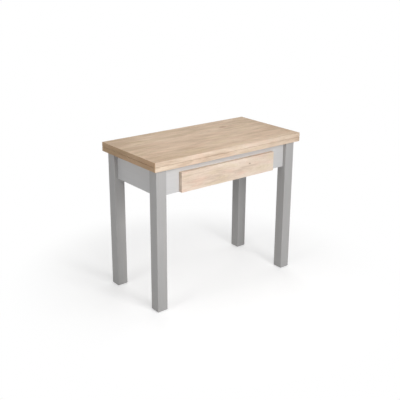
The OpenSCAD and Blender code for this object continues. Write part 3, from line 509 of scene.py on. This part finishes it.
# a turned solid: its profile of (radius, height) starts and ends on the axis, or is a closed ring
def turned(profile, steps=24, closed=False):
    bm = bmesh.new()
    verts = [bm.verts.new((radius, 0, height)) for radius, height in profile]
    ends = verts[1:] + (verts[:1] if closed else [])
    edges = [bm.edges.new(pair) for pair in zip(verts, ends)]
    bmesh.ops.spin(bm, geom=verts + edges, axis=(0, 0, 1), cent=(0, 0, 0), angle=2 * math.pi,
                   steps=steps, use_merge=True)
    bmesh.ops.remove_doubles(bm, verts=bm.verts, dist=nearby)
    bmesh.ops.recalc_face_normals(bm, faces=bm.faces)
    return bm


# a helical ridge round the Z axis, closed at both ends and sunk a little into the core
def addThread(bm, core, crest, pitch, low, high, steps=14):
    root, width = core - 0.1 * mm, 0.8 * pitch
    section = [(root, low), (crest, low + width / 2), (root, low + width)]
    verts = [bm.verts.new((radius, 0, height)) for radius, height in section]
    edges = [bm.edges.new(pair) for pair in zip(verts, verts[1:] + verts[:1])]
    count = int((high - low - width) / pitch * steps)
    made = bmesh.ops.spin(bm, geom=verts + edges, axis=(0, 0, 1), cent=(0, 0, 0),
                          dvec=(0, 0, pitch / steps), angle=2 * math.pi * count / steps,
                          steps=count)
    last = [edge for edge in made["geom_last"] if isinstance(edge, bmesh.types.BMEdge)]
    bmesh.ops.edgenet_fill(bm, edges=edges)
    bmesh.ops.edgenet_fill(bm, edges=last)
    bmesh.ops.recalc_face_normals(bm, faces=bm.faces)


def holderOf(bm):
    mesh = bpy.data.meshes.new("carving")
    bm.to_mesh(mesh)
    bm.free()
    holder = bpy.data.objects.new("carving", mesh)
    bpy.context.collection.objects.link(holder)
    return holder


# the base after each (operation, bmesh) has been taken from it or kept of it
def carved(base, cuts):
    work, tools = holderOf(base), []
    for operation, tool in cuts:
        tools.append(holderOf(tool))
        boolean = work.modifiers.new("carve", "BOOLEAN")
        boolean.operation, boolean.object, boolean.solver = operation, tools[-1], "EXACT"
    bpy.context.view_layer.update()
    result = bmesh.new()
    result.from_object(work, bpy.context.evaluated_depsgraph_get())
    for holder in [work, *tools]:
        mesh = holder.data
        bpy.data.objects.remove(holder)
        bpy.data.meshes.remove(mesh)
    bmesh.ops.remove_doubles(result, verts=result.verts, dist=nearby)
    return result


# a tapered cross for a driver, open upwards from the head's face at z = 0
def crossCutter(reach, blade, depth, above=0.5, taper=0.45):
    bm = bmesh.new()
    bmesh.ops.create_cube(bm, size=1)
    bmesh.ops.scale(bm, vec=(blade, blade, depth * (1 + above)), verts=bm.verts)
    bmesh.ops.translate(bm, vec=(0, 0, depth * (above - 1) / 2), verts=bm.verts)
    for side in [face for face in bm.faces if abs(face.normal.z) < 0.5]:
        out = side.normal.copy()
        arm = bmesh.ops.extrude_face_region(bm, geom=[side, *side.edges])
        tips = [vert for vert in arm["geom"] if isinstance(vert, bmesh.types.BMVert)]
        bmesh.ops.translate(bm, vec=out * (reach - blade / 2), verts=tips)
        lower = [vert for vert in tips if vert.co.z < -depth / 2]
        bmesh.ops.translate(bm, vec=-out * reach * taper, verts=lower)
    bmesh.ops.recalc_face_normals(bm, faces=bm.faces)
    return bm


# In these dictionaries a length is in mm, and a share is of the part's own radius, head or length.
steel = {"paint": "zinc", "slot": "zinc_steel"}
flatHead = {**steel, "core": 0.72, "rim": 0.15, "neckShare": 0.12, "threadShare": 0.14,
            "step": 0.3, "point": 0.4, "cross": (0.62, 0.2, 0.5)}
panHead = {**steel, "core": 0.72, "headShare": 1.2, "step": 0.8, "threadUnder": 0.3,
           "point": 0.4, "cross": (0.55, 0.18), "crossDepth": 0.7,
           "dome": [(0, 0), (0.55, 0.05), (0.8, 0.22), (0.96, 0.55), (1, 0.85), (0.97, 1)]}


def flatScrew(look, length, headRadius):
    shank = look["shank"] / 2 * mm
    core, under, tip = look["core"] * shank, shank - headRadius, shank - length
    rim, neck = look["rim"] * mm, under - look["neckShare"] * length
    profile = [(0, 0), (headRadius - rim, 0), (headRadius, -rim), (shank, under), (shank, neck),
               (core, neck - look["step"] * mm), (core, tip), (0, -length)]
    cross = crossCutter(*[share * headRadius for share in look["cross"]])
    bm = carved(turned(profile), [("DIFFERENCE", cross)])
    addThread(bm, core, shank, look["pitch"] * mm, tip - look["point"] * shank,
              under - look["threadShare"] * length)
    return bm


def panScrew(look, length, headRadius):
    shank = look["shank"] / 2 * mm
    core, head, tip = look["core"] * shank, look["headShare"] * shank, shank - length
    profile = [(out * headRadius, -down * head) for out, down in look["dome"]]
    profile += [(shank, -head), (core, -head - look["step"] * mm), (core, tip), (0, -length)]
    reach, blade = [share * headRadius for share in look["cross"]]
    cross = crossCutter(reach, blade, look["crossDepth"] * head)
    bm = carved(turned(profile), [("DIFFERENCE", cross)])
    addThread(bm, core, shank, look["pitch"] * mm, tip - look["point"] * shank,
              -head - look["threadUnder"] * mm)
    return bm


middleOfFrame = (0, 0, 0.637)
underPivot = (0.1125, 0.1125, 0)
bolt = {**steel, "bevel": 0.8, "threadFrom": 0.4}
legBolt = {**bolt, "core": 0.85, "woodCore": 0.72, "waist": 0.9, "machine": 26, "shoulder": 0.5,
           "plain": (8, 9), "pitch": 1.25, "woodPitch": 2.6, "point": 0.3,
           "headTowards": middleOfFrame}
pivotBolt = {**bolt, "core": 0.87, "machine": 17, "shoulder": 0.6, "pitch": 1.5,
             "headTowards": underPivot}


# a machine thread at the nut, a plain waist, and a coarse thread in the wood
def hangerBolt(look, length, radius):
    core, woodCore, waist = [look[part] * radius for part in ("core", "woodCore", "waist")]
    bevel, neck, tip = look["bevel"] * mm, -look["machine"] * mm, radius - length
    plainEnd, woodFrom = [neck - run * mm for run in look["plain"]]
    profile = [(0, 0), (core - bevel, 0), (core, -bevel), (core, neck),
               (waist, neck - look["shoulder"] * mm), (waist, plainEnd), (woodCore, woodFrom),
               (woodCore, tip), (0, -length)]
    bm = turned(profile)
    addThread(bm, core, radius, look["pitch"] * mm, neck, -look["threadFrom"] * mm)
    addThread(bm, woodCore, radius, look["woodPitch"] * mm, tip - look["point"] * radius, woodFrom)
    return bm


def studBolt(look, length, radius):
    core, bevel, neck = look["core"] * radius, look["bevel"] * mm, -look["machine"] * mm
    profile = [(0, 0), (core - bevel, 0), (core, -bevel), (core, neck),
               (radius, neck - look["shoulder"] * mm), (radius, -length), (0, -length)]
    bm = turned(profile, 32)
    addThread(bm, core, radius, look["pitch"] * mm, neck, -look["threadFrom"] * mm, 20)
    return bm


nut = {**steel, "flat": True, "rimShare": 0.87, "bevelAngle": 30, "sink": 0.4, "flare": 1.4}
ring = {**steel, "flat": True, "roll": 0.35, "edge": 0.1}


# hexagon with both ends turned to a bevel, and a bored hole with a countersink
def hexNut(look, height, cornerRadius):
    bore, sink, flare = look["bore"] / 2 * mm, look["sink"] * mm, look["flare"] * mm
    rim, past, over = look["rimShare"] * cornerRadius, cornerRadius + 0.1 * mm, 1 * mm
    drop = 1.1 * (cornerRadius - rim) * math.tan(math.radians(look["bevelAngle"]))
    prism = bmesh.new()
    bmesh.ops.create_cone(prism, cap_ends=True, segments=6, radius1=cornerRadius,
                          radius2=cornerRadius, depth=height)
    bmesh.ops.translate(prism, vec=(0, 0, -height / 2), verts=prism.verts)
    bevelled = turned([(0, 0), (rim, 0), (past, -drop), (past, drop - height), (rim, -height),
                       (0, -height)], 48)
    hole = turned([(0, over), (bore + flare, over), (bore, -sink), (bore, sink - height),
                   (bore + flare, -height - over), (0, -height - over)], 32)
    return carved(prism, [("INTERSECT", bevelled), ("DIFFERENCE", hole)])


# stamped ring: rolled upper edge, sharper lower edge
def washer(look, height, radius):
    bore, roll, edge = look["bore"] / 2 * mm, look["roll"] * mm, look["edge"] * mm
    return turned([(bore, -height), (radius - edge, -height), (radius, edge - height),
                   (radius, -roll), (radius - 0.3 * roll, -0.3 * roll), (radius - roll, 0),
                   (bore + roll, 0), (bore, -roll)], 40, closed=True)


dowel = {"paint": "beech", "slot": "beech", "flutes": 14, "pressed": 0.94, "ends": 0.86,
         "taperShare": 0.2, "headTowards": (0, 0, 0)}


# dowel with flutes pressed into it and turned-down ends
def flutedDowel(look, length, radius):
    ends, taper = look["ends"], look["taperShare"] * radius
    bm = bmesh.new()
    bmesh.ops.create_circle(bm, segments=look["flutes"] * 2, radius=radius, cap_ends=True)
    for vert in bm.verts[:][::2]:
        vert.co *= look["pressed"]
    cap = bm.faces[:][0]
    for drop, size in ((taper, 1 / ends), (length - 2 * taper, 1.0), (taper, ends)):
        grown = bmesh.ops.extrude_face_region(bm, geom=[cap, *cap.edges])
        rim = [vert for vert in grown["geom"] if isinstance(vert, bmesh.types.BMVert)]
        cap = next(part for part in grown["geom"] if isinstance(part, bmesh.types.BMFace))
        bmesh.ops.translate(bm, vec=(0, 0, -drop), verts=rim)
        bmesh.ops.scale(bm, vec=(size, size, 1), verts=rim)
    bmesh.ops.scale(bm, vec=(ends, ends, 1), verts=bm.verts)
    bmesh.ops.recalc_face_normals(bm, faces=bm.faces)
    return bm


# name, the node that it replaces, body, maker, look
smallParts = [
    ("bracketScrews", "bracket_screws", "frame", panScrew,
     {**panHead, "shank": 4.0, "pitch": 1.8}),
    ("drawerBottomScrews", "drawer_bottom_screws", "drawer", panScrew,
     {**panHead, "shank": 3.0, "pitch": 1.35}),
    ("fixedRunnerScrews", "runner_fixed_screws", "frame", flatScrew,
     {**flatHead, "shank": 3.5, "pitch": 1.6}),
    ("movingRunnerScrews", "runner_moving_screws", "drawer", flatScrew,
     {**flatHead, "shank": 3.5, "pitch": 1.6}),
    ("drawerScrews", "drawer_screws", "drawer", flatScrew,
     {**flatHead, "shank": 4.0, "pitch": 1.8}),
    ("plateScrews", "swivel_plate_screws", "top", flatScrew,
     {**flatHead, "shank": 4.5, "pitch": 2.0}),
    ("lowerHingeScrews", "hinge_screws_lower", "top", flatScrew,
     {**flatHead, "shank": 3.5, "pitch": 1.6}),
    ("upperHingeScrews", "hinge_screws_upper", "flap", flatScrew,
     {**flatHead, "shank": 3.5, "pitch": 1.6}),
    ("hangerBolts", "leg_bolts", "frame", hangerBolt, legBolt),
    ("legNuts", "leg_nuts", "frame", hexNut, {**nut, "bore": 8.1}),
    ("legWashers", "leg_washers", "frame", washer,
     {**ring, "bore": 8.2, "headTowards": middleOfFrame}),
    ("swivelStud", "swivel_stud", "top", studBolt, pivotBolt),
    ("swivelNut", "swivel_nut", "top", hexNut, {**nut, "bore": 10.1}),
    ("swivelWasher", "swivel_washer", "top", washer,
     {**ring, "bore": 10.2, "headTowards": underPivot}),
    ("apronDowels", "apron_dowels", "frame", flutedDowel, dowel),
    ("railDowels", "rail_dowels", "frame", flutedDowel, dowel),
    ("drawerDowels", "drawer_dowels", "drawer", flutedDowel, dowel),
]


# one pattern, copied to the place of each of the node's loose parts
def placeParts(name, nodeName, body, maker, look):
    joined, pattern = bmesh.new(), None
    for points in looseParts(nodeName):
        seat, length, radius = seatOf(points, look.get("headTowards"), look.get("flat", False))
        if pattern is None:
            pattern = bpy.data.meshes.new("pattern")
            bm = maker(look, length, radius)
            bm.to_mesh(pattern)
            bm.free()
        copy = pattern.copy()
        copy.transform(seat)
        joined.from_mesh(copy)
        bpy.data.meshes.remove(copy)
    bpy.data.meshes.remove(pattern)
    mesh = bpy.data.meshes.new(name)
    joined.to_mesh(mesh)
    joined.free()
    mesh.materials.append(paints[look["paint"]])
    piece = bpy.data.objects.new(name, mesh)
    bpy.context.collection.objects.link(piece)
    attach(piece, body)
    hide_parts(nodeName)


for name, nodeName, body, maker, look in smallParts:
    placeParts(name, nodeName, body, maker, look)
print("small parts made:", len(smallParts))


# metres and watts; the camera's angles are in degrees
studio = {
    "floor": {"size": 60.0, "cells": 8, "tone": (0.70, 0.70, 0.70), "drift": 0.985,
              "driftScale": (2, 2, 2), "lift": 0.43, "fadeFrom": 0.5, "fadeTo": 1.05},
    "world": 0.24,
    "lamps": {
        "keyHigh": {"at": (0.1, -2.65, 1.8), "aim": (0, 0, 0.45), "size": 0.9, "power": 25},
        "keyLow": {"at": (0.1, -2.65, 0.9), "aim": (0, 0, 0.45), "size": 0.9, "power": 11},
        "near": {"at": (-0.7, -1.5, 1.35), "aim": (-0.3, 0, 0.55), "size": 0.8, "power": 9},
        "side": {"at": (-2.5, -0.4, 1.4), "aim": (0, 0, 0.45), "size": 1.0, "power": 12.5},
        "top": {"at": (0.0, 0.0, 2.0), "aim": (0, 0, 0.7), "size": 0.9, "power": 2.2},
        "right": {"at": (2.6, 0.5, 1.2), "aim": (0, 0, 0.4), "size": 1.6, "power": 12},
        "back": {"at": (1.8, 2.4, 2.6), "aim": (0, 0, 0.7), "size": 2.0, "power": 22},
    },
    "camera": {"at": (-2.0925, -2.6308, 1.6319), "azimuth": -38.21, "elevation": 18.23,
               "roll": 0.30, "lens": 62.68, "sensor": 36.0, "shift": -0.05},
}


# matt near the table, where it takes the shadows, white for the camera further out,
# and clear from below
def makeFloor(look):
    bm = bmesh.new()
    bmesh.ops.create_grid(bm, x_segments=look["cells"], y_segments=look["cells"],
                          size=look["size"] / 2)
    mesh = bpy.data.meshes.new("floor")
    bm.to_mesh(mesh)
    bm.free()
    floor = bpy.data.objects.new("floor", mesh)
    bpy.context.collection.objects.link(floor)
    paint = Finish("paleFloor")
    faint = paint.span(paint.noise(look["driftScale"]), 0.3, 0.7)
    tone = paint.mix(faint, look["tone"], [look["drift"] * part for part in look["tone"]])
    matt = paint.node("ShaderNodeBsdfDiffuse", None, {"Color": tone})
    glow, white = [paint.node("ShaderNodeEmission", None,
                              {"Color": (1, 1, 1, 1), "Strength": strength})
                   for strength in (look["lift"], 1.0)]
    lifted = paint.node("ShaderNodeAddShader", None, {0: matt, 1: glow})
    seen = paint.seen()
    near = paint.blend(seen, matt, lifted)
    fade = paint.span(paint.vector("LENGTH", paint.place), look["fadeFrom"], look["fadeTo"])
    above = paint.blend(seen * fade, near, white)
    below = paint.node("ShaderNodeNewGeometry", output="Backfacing")
    clear = paint.node("ShaderNodeBsdfTransparent")
    mesh.materials.append(paint.surface(paint.blend(below, above, clear)))


def makeLamp(name, look):
    lamp = bpy.data.lights.new(name, "AREA")
    lamp.shape, lamp.size, lamp.energy = "SQUARE", look["size"], look["power"]
    holder = bpy.data.objects.new(name, lamp)
    holder.location = look["at"]
    aim = Vector(look["aim"]) - Vector(look["at"])
    holder.rotation_euler = aim.to_track_quat("-Z", "Y").to_euler()
    bpy.context.collection.objects.link(holder)


# a soft room for the light, and plain white where the camera sees past the floor
def makeWorld(strength):
    sky = Board(bpy.data.worlds.new("studio"), "ShaderNodeOutputWorld")
    room, white = [sky.node("ShaderNodeBackground", None,
                            {"Color": (1, 1, 1, 1), "Strength": level})
                   for level in (strength, 1.0)]
    bpy.context.scene.world = sky.surface(sky.blend(sky.seen(), room, white))


def makeCamera(look):
    camera = bpy.data.cameras.new("camera")
    camera.lens, camera.sensor_width, camera.shift_y = look["lens"], look["sensor"], look["shift"]
    holder = bpy.data.objects.new("camera", camera)
    turn = (Matrix.Rotation(math.radians(look["azimuth"]), 4, "Z")
            @ Matrix.Rotation(math.radians(90 - look["elevation"]), 4, "X")
            @ Matrix.Rotation(math.radians(look["roll"]), 4, "Z"))
    holder.matrix_world = Matrix.Translation(look["at"]) @ turn
    bpy.context.collection.objects.link(holder)
    bpy.context.scene.camera = holder


makeFloor(studio["floor"])
for name, look in studio["lamps"].items():
    makeLamp(name, look)
makeWorld(studio["world"])
makeCamera(studio["camera"])
bpy.context.scene.view_settings.view_transform = "Standard"
print("studio ready")
